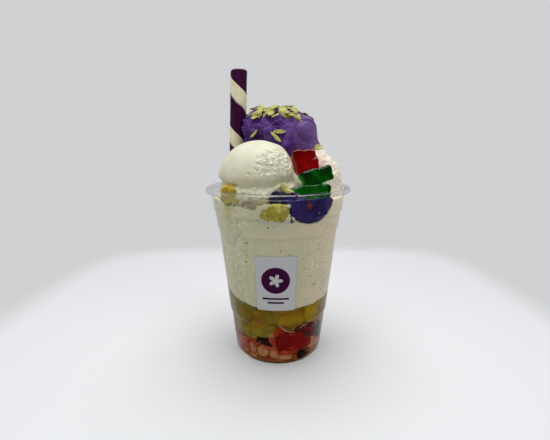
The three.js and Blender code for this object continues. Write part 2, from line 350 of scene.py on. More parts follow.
class Shader(Nodes):
    """A material with a Principled surface."""

    def __init__(self, name, colour, roughness, gloss=0.5, **sockets):
        self.material = bpy.data.materials.new(name)
        self.material.use_nodes = True
        super().__init__(self.material.node_tree)
        self.surface = self.tree.nodes["Principled BSDF"]
        self.output = self.tree.nodes["Material Output"]
        values = {"Base Color": colour, "Roughness": roughness, "Specular IOR Level": gloss}
        for socket, value in {**values, **sockets}.items():
            self.set(socket.replace("_", " "), value)

    def set(self, socket, value):
        self.feed(self.surface.inputs[socket], value)

    def place(self, stretch=None):
        coordinates = self.node("ShaderNodeTexCoord").outputs["Object"]
        if not stretch:
            return coordinates
        return self.node("ShaderNodeMapping", {"Vector": coordinates, "Scale": stretch}).outputs[0]

    def axis(self, which):
        """The point's "X", "Y" or "Z"."""
        return self.node("ShaderNodeSeparateXYZ", {0: self.place()}).outputs[which]

    def noise(self, size, detail=2, stretch=None, distortion=0.0):
        inputs = {"Vector": self.place(stretch), "Scale": 1 / size, "Detail": detail}
        inputs["Distortion"] = distortion
        return self.node("ShaderNodeTexNoise", inputs).outputs[0]

    def cells(self, size):
        inputs = {"Vector": self.place(), "Scale": 1 / size}
        return self.node("ShaderNodeTexVoronoi", inputs).outputs["Distance"]

    def math(self, operation, a, *others):
        """One operation, repeated with each further value."""
        for b in others or (0.0,):
            a = self.node("ShaderNodeMath", {0: a, 1: b}, operation=operation).outputs[0]
        return a

    def times(self, *factors):
        return self.math("MULTIPLY", *factors)

    def minus(self, a, b):
        return self.math("SUBTRACT", a, b)

    def away(self, a, b=0.0):
        """How far two values are apart."""
        return self.math("ABSOLUTE", self.minus(a, b))

    def along(self, axis, low, high, to_low=0.0, to_high=1.0):
        """A ramp along an axis."""
        return self.ramp(self.axis(axis), low, high, to_low, to_high)

    def band(self, axis, middle, core, edge, amount=1.0):
        """`amount` up to `core` away from a place on the axis, nothing from `edge` away."""
        return self.ramp(self.away(self.axis(axis), middle), core, edge, amount, 0.0)

    def patches(self, size, low, high, amount=1.0, detail=3, **look):
        """Patches of noise from 0 to `amount`."""
        return self.ramp(self.noise(size, detail, **look), low, high, 0.0, amount)

    def mix(self, factor, a, b):
        return self.node("ShaderNodeMix", {0: factor, 6: a, 7: b}, data_type="RGBA").outputs[2]

    def soften(self, weight, scale, radius):
        """Lets light wander under the surface."""
        self.set("Subsurface Weight", weight)
        self.set("Subsurface Scale", scale)
        self.set("Subsurface Radius", radius)

    def bump(self, height, distance, strength):
        inputs = {"Height": height, "Distance": distance, "Strength": strength}
        self.set("Normal", self.node("ShaderNodeBump", inputs).outputs[0])

    def absorb(self, colour, density):
        volume = self.node("ShaderNodeVolumeAbsorption", {"Color": colour, "Density": density})
        self.feed(self.output.inputs["Volume"], volume.outputs[0])

    def finished(self, colour, grain_size, distance, strength, detail=4):
        """The material, with its colour and a fine relief."""
        self.set("Base Color", colour)
        self.bump(self.noise(grain_size, detail), distance, strength)
        return self.material


def clear_plastic():
    """Its inner face is wet and reflects little, so the IOR is below that of dry plastic."""
    colour = (0.985, 0.99, 0.99)
    return Shader("clear_plastic", colour, 0.03, Transmission_Weight=1.0, IOR=1.33).material


def vanilla_cream():
    """Dense, mottled and fine-grained. It is paler where its right side is torn, and has painted
    shade, darker and yellower, in the pits there and in the crease above its skirt."""
    s = Shader("vanilla_ice_cream", (0.83, 0.81, 0.64), 0.5, gloss=0.3)
    s.soften(0.35, 0.6 * MM, (1.0, 0.8, 0.6))
    low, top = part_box("vanilla_scoop")
    centre = (low.x + top.x) / 2
    base = s.mix(s.patches(9 * MM, 0.35, 0.68), (0.83, 0.81, 0.64), (0.77, 0.745, 0.545))
    torn = s.times(
        s.along("X", centre - 4 * MM, centre + 5 * MM),
        s.along("Z", top.z - 24 * MM, top.z - 17 * MM),
        s.along("Z", top.z - 9 * MM, top.z - 5 * MM, 1.0, 0.0),
    )
    base = s.mix(torn, base, (0.92, 0.90, 0.74))
    # painted shade: darker olive patches over the torn part stand for the shade in its pits
    pits = s.patches(2.0 * MM, 0.47, 0.60, detail=4, stretch=(1.0, 1.0, 1.8), distortion=0.6)
    base = s.mix(s.times(pits, torn, 0.9), base, (0.66, 0.65, 0.40))
    # painted shade: a darker, yellower band where the crease above the skirt lies in shadow
    crease = s.band("Z", top.z - 24.5 * MM, 0.5 * MM, 5.0 * MM, 0.55)
    return s.finished(s.mix(crease, base, (0.60, 0.58, 0.37)), 1.4 * MM, 0.25 * MM, 0.5)


def strawberry_cream():
    """Finely streaked, with a pink stain beside the red jelly."""
    s = Shader("strawberry_ice_cream", (0.9, 0.8, 0.7), 0.5, gloss=0.3)
    s.soften(0.3, 0.6 * MM, (1.0, 0.6, 0.5))
    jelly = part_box("red_jelly")[1]
    base = s.mix(s.patches(11 * MM, 0.4, 0.62), (0.95, 0.90, 0.76), (0.94, 0.85, 0.72))
    beside = s.band("X", jelly.x + 2.5 * MM, 0.0, 6 * MM, 0.75)
    stain = s.times(beside, s.band("Z", jelly.z - 11 * MM, 2 * MM, 10 * MM))
    base = s.mix(stain, base, (0.86, 0.56, 0.49))
    streaks = s.patches(2.2 * MM, 0.5, 0.72, stretch=(1.0, 1.0, 0.45))
    return s.finished(s.mix(streaks, base, (0.89, 0.72, 0.63)), 1.3 * MM, 0.3 * MM, 0.8)


def ube_cream():
    """Deep purple with paler streaks, and paler on the smooth right side."""
    s = Shader("ube_ice_cream", (0.10, 0.05, 0.20), 0.42, gloss=0.12)
    s.soften(0.3, 0.6 * MM, (0.6, 0.4, 1.0))
    tone = s.patches(7 * MM, 0.35, 0.68, detail=4)
    base = s.mix(tone, (0.140, 0.050, 0.290), (0.042, 0.011, 0.102))
    base = s.mix(s.along("X", 6 * MM, 16 * MM), base, (0.152, 0.080, 0.260))
    streaks = s.patches(3.4 * MM, 0.5, 0.72, stretch=(1.6, 1.6, 0.35), distortion=1.0)
    return s.finished(s.mix(streaks, base, (0.165, 0.088, 0.25)), 1.0 * MM, 0.25 * MM, 0.7)


def milky_ice():
    """Cream-coloured shaved ice: greyer crumbs to the left, warmer ones to the right, faint
    flecks, and a run of yellow juice below the golden fruit."""
    s = Shader("milk_ice", (0.84, 0.80, 0.60), 0.45, gloss=0.1)
    s.soften(0.3, 1.5 * MM, (1.0, 0.8, 0.5))
    drift = s.times(s.minus(s.noise(22 * MM, 3), 0.5), 60 * MM)
    across = s.math("ADD", s.axis("X"), drift)
    left = s.ramp(across, -30 * MM, -6 * MM, 1.0, 0.0)
    right = s.ramp(across, 10 * MM, 34 * MM)
    base = s.mix(left, (0.72, 0.69, 0.49), (0.76, 0.75, 0.525))
    base = s.mix(right, base, (0.86, 0.755, 0.555))
    blush = s.times(right, s.patches(15 * MM, 0.5, 0.62, 0.6, detail=2))
    base = s.mix(blush, base, (0.88, 0.69, 0.56))
    crumbly = s.math("MAXIMUM", s.times(left, 0.75), s.times(right, 0.4))
    crumbs = s.patches(3.6 * MM, 0.42, 0.66, detail=4, distortion=0.4)
    base = s.mix(s.times(crumbs, crumbly), base, (0.64, 0.63, 0.42))
    pale = s.times(s.patches(2.6 * MM, 0.56, 0.70), s.math("ADD", crumbly, 0.2))
    base = s.mix(pale, base, (0.90, 0.87, 0.68))
    juice = s.times(
        s.band("X", -31 * MM, 0.8 * MM, 4.5 * MM, 0.8),
        s.along("Z", 95 * MM, 108 * MM),
        s.patches(5 * MM, 0.35, 0.55),
        s.along("Y", -8 * MM, 0.0, 1.0, 0.0),
    )
    base = s.mix(juice, base, (0.64, 0.56, 0.22))
    fleck = s.ramp(s.cells(3.2 * MM), 0.08, 0.24, 0.5, 0.0)
    flecks = s.times(fleck, s.patches(12 * MM, 0.48, 0.60, detail=2))
    return s.finished(s.mix(flecks, base, (0.30, 0.27, 0.15)), 2.4 * MM, 0.3 * MM, 0.5)


def syrup():
    s = Shader("syrup", (0.96, 0.92, 0.84), 0.02, Transmission_Weight=1.0, IOR=1.06)
    s.absorb((0.85, 0.62, 0.10), 230)
    return s.material


def soft_fruit(name, colours, size, milky=None):
    """Wet, half-clear fruit flesh or jelly in patches of two or three colours. Below the cup's
    rim it can be veiled in a milky colour."""
    s = Shader(name, colours[0], 0.3, gloss=0.1)
    s.soften(0.5, 2.0 * MM, (1.0, 0.7, 0.3))
    base = s.mix(s.patches(size, 0.35, 0.65), colours[0], colours[1])
    if len(colours) > 2:
        base = s.mix(s.patches(size * 0.6, 0.5, 0.68, distortion=0.6), base, colours[2])
    if milky:
        veil = s.along("Z", CUP_TOP - 3.2 * MM, CUP_TOP - 0.8 * MM, 0.85, 0.0)
        base = s.mix(veil, base, milky)
    return s.finished(base, size * 0.3, 0.3 * MM, 0.4, detail=3)


def gel(name, tint, inner, density, clearness=1.0):
    """Set jelly, clear or a little clouded: `inner` is the colour that light keeps on its way
    through, and the density says how soon the rest is lost."""
    s = Shader(name, tint, 0.08, Transmission_Weight=clearness, IOR=1.33)
    s.absorb(inner, density)
    s.bump(s.noise(5 * MM), 0.3 * MM, 0.3)
    return s.material


def jam():
    """Dark purple, with painted shade that makes it nearly black at the left, under the edge of the
    scoops.
    """
    s = Shader("ube_jam", (0.028, 0.020, 0.095), 0.3, gloss=0.15)
    s.soften(0.15, 1.0 * MM, (1.0, 0.2, 0.1))
    base = s.mix(s.patches(7 * MM, 0.4, 0.65), (0.040, 0.026, 0.148), (0.021, 0.012, 0.083))
    # painted shade: nearly black at the left, where the jam lies under the edge of the scoops
    base = s.mix(s.along("X", -1 * MM, 7 * MM, 0.8, 0.0), base, (0.018, 0.012, 0.030))
    return s.finished(base, 3.5 * MM, 0.4 * MM, 0.4, detail=3)


def label_print():
    """White paper with a purple disc, a pale flower in it and plain bars below."""
    disc, petal, heart = 8.9 * MM, 3.2 * MM, 1.3 * MM
    bars = ((12.6 * MM, 8.4 * MM), (15.4 * MM, 5.2 * MM))  # how far below, half the width
    s = Shader("label_paper", (0.8, 0.8, 0.82), 0.5, gloss=0.05)
    lo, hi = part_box("label")
    x = s.minus(s.axis("X"), (lo.x + hi.x) / 2)
    z = s.minus(s.axis("Z"), lo.z + 0.57 * (hi.z - lo.z))
    distance = s.math("SQRT", s.math("ADD", s.math("POWER", x, 2), s.math("POWER", z, 2)))
    five_fold = s.away(s.math("COSINE", s.times(s.math("ARCTAN2", z, x), 2.5)))
    flower = s.math("LESS_THAN", distance, s.math("ADD", s.times(five_fold, petal), heart))
    ink = s.minus(s.math("LESS_THAN", distance, disc), flower)
    for below, half_width in bars:
        row = s.math("LESS_THAN", s.away(z, -below), 0.65 * MM)
        ink = s.math("MAXIMUM", ink, s.times(row, s.math("LESS_THAN", s.away(x), half_width)))
    s.set("Base Color", s.mix(ink, (0.49, 0.495, 0.50), (0.046, 0.002, 0.038)))
    return s.material


def wafer_stripes(centre, top, pitch, share):
    """Two stripes that wind down the stick: a broad purple one and a narrower cream one."""
    s = Shader("wafer", (0.1, 0.02, 0.1), 0.6, gloss=0.08)
    turn = s.math("ARCTAN2", s.minus(s.axis("Y"), centre.y), s.minus(s.axis("X"), centre.x))
    turn = s.math("DIVIDE", turn, 2 * math.pi)
    drop = s.math("DIVIDE", s.minus(top, s.axis("Z")), pitch)
    wobble = s.times(s.minus(s.noise(6 * MM), 0.5), 0.05)
    phase = s.math("FRACT", s.math("ADD", s.minus(drop, turn), wobble))
    past_cream = s.ramp(phase, share - 0.035, share + 0.035, 1.0, 0.0)
    cream = s.times(s.ramp(phase, 0.0, 0.02), past_cream)
    fine = s.noise(1.2 * MM, 4, stretch=(1, 1, 0.3))
    purple = s.mix(s.ramp(fine, 0.3, 0.7), (0.064, 0.007, 0.056), (0.038, 0.004, 0.032))
    pale = s.mix(s.patches(5 * MM, 0.35, 0.65), (0.98, 0.90, 0.64), (0.88, 0.79, 0.52))
    s.set("Base Color", s.mix(cream, purple, pale))
    s.bump(fine, 0.12 * MM, 0.5)
    return s.material


def plain(name, colour, roughness=0.5, gloss=0.5, **sockets):
    """One colour with deeper patches."""
    s = Shader(name, colour, roughness, gloss, **sockets)
    deeper = tuple(0.7 * c for c in colour)
    base = s.mix(s.patches(1.6 * MM, 0.35, 0.7), colour, deeper)
    return s.finished(base, 0.9 * MM, 0.1 * MM, 0.5, detail=2)


ICE = milky_ice()


# ---------------------------------------------------------------- cup and label
def make_cup():
    cup = lathe("clear_cup", cup_section, 128, clear_plastic())
    cup.visible_shadow = False
    settle(cup, "clear_plastic", "cup")


def thin_sheet(name, front, back, width, cells, material, smooth=True):
    """Two sheets of points in rows of `width`, as a thin body where the (column, row) cells say,
    closed all round."""
    layer = len(front)
    known = set(cells)
    # the neighbour across each side of a cell, and that side's two corners
    sides = (((0, -1), (0, 1)), ((1, 0), (1, 2)), ((0, 1), (2, 3)), ((-1, 0), (3, 0)))
    faces = []
    for i, j in cells:
        a = j * width + i
        ring = (a, a + 1, a + width + 1, a + width)
        faces.append(ring)
        faces.append(tuple(layer + k for k in reversed(ring)))
        for (di, dj), (p, q) in sides:
            if (i + di, j + dj) not in known:
                faces.append((ring[q], ring[p], layer + ring[p], layer + ring[q]))
    used = sorted({k for face in faces for k in face})
    order = {k: n for n, k in enumerate(used)}
    points = [(front + back)[k] for k in used]
    faces = [[order[k] for k in face] for face in faces]
    return mesh_object(name, points, faces, material, smooth)


def make_label():
    """A thin sheet that follows the wall, a little inside the space of its CAD solid."""
    lo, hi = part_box("label")
    corners = vectors_of(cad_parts["label"].data)
    turns = np.degrees(np.arctan2(corners[:, 0], -corners[:, 1]))
    left, right = turns.min(), turns.max()
    columns, rows = 36, 24
    front, back = [], []
    for j in range(rows + 1):
        z = lo.z + (hi.z - lo.z) * j / rows
        for i in range(columns + 1):
            a = math.radians(left + (right - left) * i / columns)
            for sheet, lift in ((front, 0.16 * MM), (back, 0.04 * MM)):
                r = outer_radius(z) + lift
                sheet.append((r * math.sin(a), -r * math.cos(a), z))
    cells = [(i, j) for j in range(rows) for i in range(columns)]
    paper = thin_sheet("paper_label", front, back, columns + 1, cells, label_print(), smooth=False)
    settle(paper, "label_paper", "label")


# ---------------------------------------------------------------- small forms
def taken(form, shape):
    """A bmesh as (points, faces), each point put through shape(co)."""
    points = [shape(v.co) for v in form.verts]
    faces = [[v.index for v in f.verts] for f in form.faces]
    form.free()
    return points, faces


def grain(size, seed, detail=1):
    """A small uneven lump of the given size, at the origin."""
    ball = bmesh.new()
    bmesh.ops.create_icosphere(ball, subdivisions=detail, radius=0.5)
    return taken(ball, lambda co: scaled(co * (1 + 0.25 * fbm(co, 0.7, 2, seed)), size))


def chunk(size, seed, softness):
    """A block of fruit or jelly at the origin: a cube, or a ball at a softness of 1."""
    ball_radius = 0.62  # of a cube of size 1, so that both look about as large

    def shape(co):
        p = co.lerp(co.normalized() * ball_radius, softness)
        return scaled(p * (1 + 0.12 * fbm(co, 0.8, 2, seed)), size)

    cube = bmesh.new()
    bmesh.ops.create_cube(cube, size=1.0)
    bmesh.ops.subdivide_edges(cube, edges=cube.edges, cuts=8, use_grid_fill=True)
    return taken(cube, shape)


def bean(size, seed):
    """An oval bent towards its scar."""
    points, faces = grain((1, 1, 1), seed, 3)
    bent = []
    for p in points:
        x = p.x * size[0]
        bent.append(Vector((x, p.y * size[1], p.z * size[2] - 0.9 * x * x / size[0])))
    return bent, faces


def flake(length, width, thick, seed):
    """A pressed rice flake: flat, narrower at both ends, uneven and a little curled."""
    points, faces = grain((1, 1, 1), seed, 3)
    shaped = []
    for p in points:
        x = 2 * p.x
        taper = math.sqrt(max(0.0, 1 - min(1.0, abs(x)) ** 2.2))
        uneven = 1 + 0.35 * noise.noise(Vector((3 * p.x, 2 * p.y, seed)))
        y = p.y * width * (0.35 + 0.7 * taper) * uneven
        curl = 0.07 * length * x * x * math.sin(seed * 5) + 0.25 * MM * math.sin(5 * p.y + seed)
        shaped.append(Vector((p.x * length, y, p.z * thick + curl)))
    return shaped, faces


def put(part, place, turn):
    points, faces = part
    return [turn @ p + place for p in points], faces


def at_wall(part, azimuth, z, depth, spin=0.0):
    """Sets a piece's middle `depth` in from the wall."""
    return put(part, on_wall(azimuth, z, depth), facing(azimuth, spin))


def against_wall(part, azimuth, z, depth, spin=0.0):
    """Sets a piece behind the wall, its outer face `depth` from it, and bends it to the wall."""
    points, faces = part
    reach = -min(p.y for p in points)
    placed, _ = at_wall(part, azimuth, z, depth + reach, math.radians(spin))
    moved = []
    for q in placed:
        if q.z < FLOOR_TOP + 0.3 * MM:
            q.z = FLOOR_TOP + 0.3 * MM
        limit = inner_radius(q.z) - min(depth, 0.25 * MM) + 0.05 * MM
        moved.append(at_radius(q, limit) if math.hypot(q.x, q.y) > limit else q)
    return moved, faces


# ---------------------------------------------------------------- layers in the cup
def make_milk_ice():
    """Pressed flat where it meets the wall, crumbly where it is free."""
    ice = fine_copy("milk_ice_body", "milk_ice", ICE, 0.85 * MM, 4)

    def move(p, n):
        q = p + n * HALF_GAP
        if math.hypot(q.x, q.y) < inner_radius(min(q.z, WALL_TOP)) - 0.8 * MM:
            lumps = 0.35 * MM * (pebbles(p, 2.6 * MM) - 0.5)
            q += n * (0.5 * MM * fbm(p, 5 * MM, 4, 1.0) + lumps)
        return press_to_wall(q)

    settle(move_points(ice, move), "milk_ice", "milk_ice")


def make_specks():
    """Dark and greenish flecks that lie in the milky ice against the wall."""
    draw = random.Random(11)
    lo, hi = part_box("milk_ice")
    bottom, top = lo.z + 9 * MM, hi.z - 13 * MM
    # name: count, lengths and widths in mm, colour
    kinds = {
        "dark_specks": (70, (0.4, 1.0), (0.3, 0.8), (0.20, 0.15, 0.08)),
        "brown_specks": (120, (0.5, 1.7), (0.4, 1.0), (0.36, 0.31, 0.17)),
        "green_specks": (150, (0.8, 3.0), (0.4, 1.0), (0.42, 0.43, 0.24)),
    }
    for name, (count, lengths, widths, colour) in kinds.items():
        parts = []
        while len(parts) < count:
            azimuth = draw.uniform(-180, 180)
            z = bottom + (top - bottom) * draw.random()
            crowd = 0.3 + 0.7 * ease(abs(math.sin(math.radians(azimuth))), 0.3, 0.7)
            crowd *= 1 - 0.5 * ease(z, bottom + 0.5 * (top - bottom), top)
            if draw.random() > crowd:
                continue
            size = (draw.uniform(*lengths) * MM, 0.2 * MM, draw.uniform(*widths) * MM)
            spin = draw.uniform(0, math.pi)
            parts.append(at_wall(grain(size, len(parts) * 0.37), azimuth, z, -INTO_WALL, spin))
        joined(name, parts, plain(name, colour, 0.6, 0.1), "milk_ice")

    # a bead beside the jam and small seeds near it: azimuth, height, size, thickness, seed, detail
    beads = []
    for azimuth, z, size, thick, seed, detail in (
        (10.6, 102.4, 2.9, 1.6, 3.0, 3), (1, 104.0, 1.6, 0.9, 1, 2), (1.5, 101.8, 1.0, 0.9, 1.5, 2),
        (-3, 98.9, 1.0, 0.9, -3, 2), (-8.5, 98.2, 1.5, 0.9, -8.5, 2),
    ):
        bead = grain((size * MM, thick * MM, size * MM), seed, detail)
        beads.append(at_wall(bead, azimuth, z * MM, 0.2 * MM))
    joined("bean_bead", beads, plain("bead", (0.12, 0.13, 0.09), 0.3), "milk_ice")


FRUIT_COLOURS = ((0.40, 0.32, 0.07), (0.27, 0.20, 0.035), (0.42, 0.32, 0.03))
BEAN_COLOURS = ((0.30, 0.10, 0.03), (0.38, 0.16, 0.06), (0.24, 0.05, 0.02))


def make_core(name, node, material, depth, lumps, slot):
    """The crowded middle of a layer: it stands back from the wall by `depth`, less at its foot."""
    core = fine_copy(name, node, material, 1.0 * MM, 6)

    def move(p, _):
        uneven = 0.6 * fbm(p, 9 * MM, 3, 2.0) + 0.8 * (0.5 - pebbles(p, 8 * MM, 1.0))
        foot = 0.3 + 0.7 * ease(p.z, FLOOR_TOP, FLOOR_TOP + 5 * MM)
        limit = inner_radius(p.z) - max(0.5 * MM, depth + lumps * uneven) * foot
        return at_radius(p, limit) if math.hypot(p.x, p.y) > limit else p

    settle(move_points(core, move), slot, node)


# taken here, because a CAD node has no surface to hit once a piece has replaced it
FRUIT_SURFACE = tree_of(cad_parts["fruit_layer"])


def make_syrup():
    """Clear syrup from the cup's floor up to the ice, round everything sunk in it. It is turned
    with a level top, which is then raised or lowered to the fruit layer's."""
    sides, steps, rings = 96, 60, 14
    into_floor = 0.1 * MM
    floor_reach = 0.55 * CUP_RADIUS  # the floor and the corner round it end at this radius
    lo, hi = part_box("fruit_layer")
    middle = (lo.z + hi.z) / 2 + 4 * MM
    corner = [(r + INTO_WALL, z - into_floor) for r, z in inner_line if r < floor_reach]
    base = corner[-1][1]
    profile = [(0, FLOOR_TOP - into_floor)] + corner[1::4]
    for i in range(1, steps + 1):
        z = base + (middle - base) * i / steps
        profile.append((inner_radius(z) + INTO_WALL, z))
    last = profile[-1][0]
    profile += [(last * (rings - i) / rings, middle) for i in range(1, rings + 1)]
    body = lathe("syrup_body", profile, sides, syrup())
    start = base + 0.35 * (middle - base)  # what lies below this stays where it is
    wall = inner_radius(middle) + INTO_WALL
    rim = 0.9 * MM

    def move(p, _):
        if p.z <= start:
            return p
        r = math.hypot(p.x, p.y)
        edge = min(1.0, (wall - 1.2 * MM) / r) if r > 0 else 1.0
        hit = FRUIT_SURFACE.ray_cast(Vector((p.x * edge, p.y * edge, 0.3)), -UP)[0]
        top = (middle if hit is None else hit.z) + HALF_GAP
        share = (p.z - start) / (middle - start)
        z = start + share * (top - start)
        q = Vector((p.x, p.y, z))
        return at_radius(q, inner_radius(z) + INTO_WALL) if r > wall - rim or share < 1 else q

    move_points(body, move)
    body.visible_shadow = False
    settle(body, "fruit_syrup")


def strand(corners, thick):
    """A thin line along the wall through the corners, tapered at both ends."""
    steps, sides = 5, 8
    line = [
        on_wall(a0 + (a1 - a0) * i / steps, (z0 + (z1 - z0) * i / steps) * MM, 0.1 * MM)
        for (a0, z0), (a1, z1) in zip(corners, corners[1:])
        for i in range(steps)
    ]
    for _ in range(2):
        inner = [(a + b + c) / 3 for a, b, c in zip(line, line[1:], line[2:])]
        line = [line[0]] + inner + [line[-1]]
    points = []
    last = len(line) - 1
    for k, centre in enumerate(line):
        along = (line[min(k + 1, last)] - line[max(k - 1, 0)]).normalized()
        out = Vector((centre.x, centre.y, 0)).normalized()
        across = along.cross(out).normalized()
        half = thick / 2 * MM * (0.15 + 0.85 * math.sin(math.pi * k / last) ** 0.5)
        for s in range(sides):
            a = 2 * math.pi * s / sides
            points.append(centre + across * half * math.cos(a) + out * 0.1 * MM * math.sin(a))
    faces = tube_faces(len(line), sides)
    faces.append(tuple(range(sides)))
    faces.append(tuple(len(points) - 1 - s for s in range(sides)))
    return points, faces


# What is sunk in the syrup, by the piece's name: its layer, how soft its corners are (None for
# a bean), its colours, the size in mm of their patches, and what shows at the front, each as
# (azimuth, height above the table, width, thickness, tallness, depth, spin), mm and degrees.
SUNK = {
    "red_jelly_sunk": (
        "bean", 0.28, ((0.27, 0.003, 0.002), (0.20, 0.002, 0.002), (0.33, 0.008, 0.003)), 10,
        [(22, 17.6, 24, 9, 14.5, 0.45, -3), (57, 13.5, 6, 6, 6, 1.4, -14)],
    ),
    "orange_jelly_sunk": (
        "bean", 0.7, ((0.52, 0.070, 0.016), (0.42, 0.040, 0.012)), 5,
        [(9, 11.0, 12, 7, 7.5, 0.15, 10), (0.5, 25.2, 9, 6, 7, 0.8, -35),
         (-36, 15.5, 8, 5, 5, 1.6, 10)],
    ),
    "plum_jelly_sunk": (
        "bean", 0.5, ((0.12, 0.018, 0.022), (0.085, 0.010, 0.012)), 6,
        [(42, 22.0, 11, 6, 11, 0.15, -20), (30, 25.6, 10, 5, 4, 0.5, 0)],
    ),
    "pink_jelly_sunk": (
        "bean", 0.4, ((0.50, 0.13, 0.075), (0.42, 0.06, 0.03)), 5,
        [(-46.5, 11.6, 6.5, 6, 9, 0.2, -30), (-58, 10.5, 6, 6, 8, 0.8, -10),
         (-30, 14.5, 6, 5, 4, 1.0, 10), (-10, 13.4, 7, 6, 6.5, 0.9, 25),
         (-4, 19.5, 9, 6, 9, 1.2, 0)],
    ),
    "coconut_jelly": (
        "bean", 0.9, ((0.62, 0.33, 0.22), (0.50, 0.22, 0.12)), 4,
        [(-35.5, 10.3, 5, 6, 8.4, 0.3, -12), (-21, 9.0, 7.6, 6, 8, 0.2, -8),
         (-5, 8.2, 6, 5, 6.6, 0.4, 8), (-36, 4.2, 6, 5, 4, 1.2, 0), (8, 5.0, 10, 5, 4, 0.9, 6),
         (-50, 5.6, 5, 5, 5, 1.4, 30), (50, 11.0, 6.5, 5, 9, 0.7, 14),
         (60, 12.5, 6, 5, 9, 0.4, 10), (-9, 22.6, 7, 5, 4, 0.9, -20)],
    ),
    "dark_beans": (
        "bean", None, ((0.030, 0.006, 0.006),), 0,
        [(-18.5, 17.2, 12, 4.5, 4.8, 0.1, 6), (34.5, 4.6, 9.0, 4, 3.8, 0.1, -16),
         (-26, 21.0, 6, 4, 3.4, 1.2, 20)],
    ),
    "yellow_fruit_sunk": (
        "fruit", 0.75, ((0.44, 0.32, 0.012), (0.38, 0.26, 0.014)), 7,
        [(-24, 28.8, 11, 6, 8, 1.1, 20), (17, 34.4, 19, 7, 10, 1.0, -8),
         (41, 37.5, 13, 7, 15, 0.4, 16), (-34, 24.0, 9, 5, 7, 0.7, 0)],
    ),
    "olive_fruit_sunk": (
        "fruit", 0.8, ((0.34, 0.29, 0.03), (0.26, 0.22, 0.03)), 7,
        [(-25, 24.4, 15, 6, 9, 0.5, 8), (-42, 23.0, 14, 6, 11, 0.7, 0),
         (-12, 26.8, 11, 6, 8, 0.7, -16), (-56, 26.0, 12, 6, 14, 0.9, 0),
         (-2, 35.5, 16, 6, 10, 1.5, 0), (-64, 41.0, 12, 5, 18, 0.8, 0),
         (62, 44.0, 12, 5, 16, 0.9, 0), (-46, 36.0, 15, 6, 12, 1.3, 0)],
    ),
    "green_jelly_sunk": (
        "fruit", 0.7, ((0.19, 0.24, 0.04), (0.27, 0.29, 0.06)), 7,
        [(-48, 45.2, 12, 4, 4.5, 0.25, 24), (-33, 42.2, 9, 4, 3, 0.6, 14)],
    ),
    "dark_green_jelly_sunk": (
        "bean", 0.5, ((0.03, 0.055, 0.025), (0.02, 0.035, 0.02)), 5,
        [(64, 19.0, 5, 3, 14, 0.02, 22)],
    ),
}


def make_sunk_pieces():
    """The listed pieces, and more of each kind round the rest of the wall."""
    draw = random.Random(5)
    more = 7
    layers = {
        "bean": (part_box("bean_jelly_layer"), "bean_syrup"),
        "fruit": (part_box("fruit_layer"), "fruit_syrup"),
    }
    for name, (layer, softness, colours, patch, listed) in SUNK.items():
        (foot, crown), slot = layers[layer]
        if softness is None:
            shape, options = bean, ()
            material = plain("dark_bean", colours[0], 0.35, 0.1)
        else:
            shape, options = chunk, (softness,)
            material = soft_fruit(name, colours, patch * MM)
        parts = []
        for i, (azimuth, place, width, thick, tall, depth, spin) in enumerate(listed):
            size = (width * MM, thick * MM, tall * MM)
            part = shape(size, i * 1.7 + len(name), *options)
            parts.append(against_wall(part, azimuth, place * MM, depth * MM, spin))
        width, tall = listed[0][2] * 0.7, listed[0][4] * 0.8
        for i in range(more):
            size = [draw.uniform(0.75, 1.15) * side * MM for side in (width, 6, tall)]
            azimuth = draw.uniform(80, 280)
            place = foot.z + draw.uniform(0.15, 0.85) * (crown.z - foot.z)
            part = shape(size, i * 2.3 + 40, *options)
            depth, spin = draw.uniform(0.3, 1.8) * MM, draw.uniform(0, 90)
            parts.append(against_wall(part, azimuth, place, depth, spin))
        joined(name, parts, material, slot)

    # painted highlights, pale strips along the sunk jellies' top edges where they would catch the
    # light: corners as (azimuth, height in mm), then how thick in mm
    edges = [
        strand([(-2, 31.0), (2, 30.2), (6.6, 27.2), (14, 25.2), (21.6, 24.6)], 1.3),
        strand([(25, 27.4), (30, 28.9), (37, 28.2)], 1.3),
        strand([(-52, 18.4), (-48.3, 16.6), (-40.5, 16.4), (-33.2, 16.8)], 1.0),
        strand([(52, 29.0), (60, 26.5), (66, 27.5)], 1.4),
    ]
    joined("painted_highlight_strips", edges, plain("painted_highlight_strip", (0.50, 0.22, 0.15), 0.3, 0.1), "bean_syrup")


def make_bubbles():
    """Small air bubbles caught between the syrup and the wall, pale with a painted glint."""
    draw = random.Random(23)
    count = 110
    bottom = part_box("bean_jelly_layer")[0].z + 4 * MM
    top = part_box("fruit_layer")[1].z - 14 * MM
    parts = []
    for i in range(count):
        size = draw.uniform(0.3, 0.75) * MM
        azimuth, z = draw.uniform(-180, 180), draw.uniform(bottom, top)
        bubble_and_painted_glint = grain((size * draw.uniform(0.8, 1.8), 0.25 * MM, size), i * 0.61, 2)
        parts.append(at_wall(bubble_and_painted_glint, azimuth, z, 0.0, draw.uniform(0, math.pi)))
    # the pale colour is a painted glint: the bright look of an air bubble against the wall
    pale = plain("bubble_and_painted_glint", (0.52, 0.45, 0.27), 0.1, Coat_Weight=1.0)
    joined("bubbles", parts, pale, "fruit_syrup")


# ---------------------------------------------------------------- scoops
def around(unit):
    """Azimuth and elevation of a direction, in degrees."""
    elevation = math.asin(max(-1, min(1, unit.z)))
    return math.degrees(math.atan2(unit.x, -unit.y)), math.degrees(elevation)


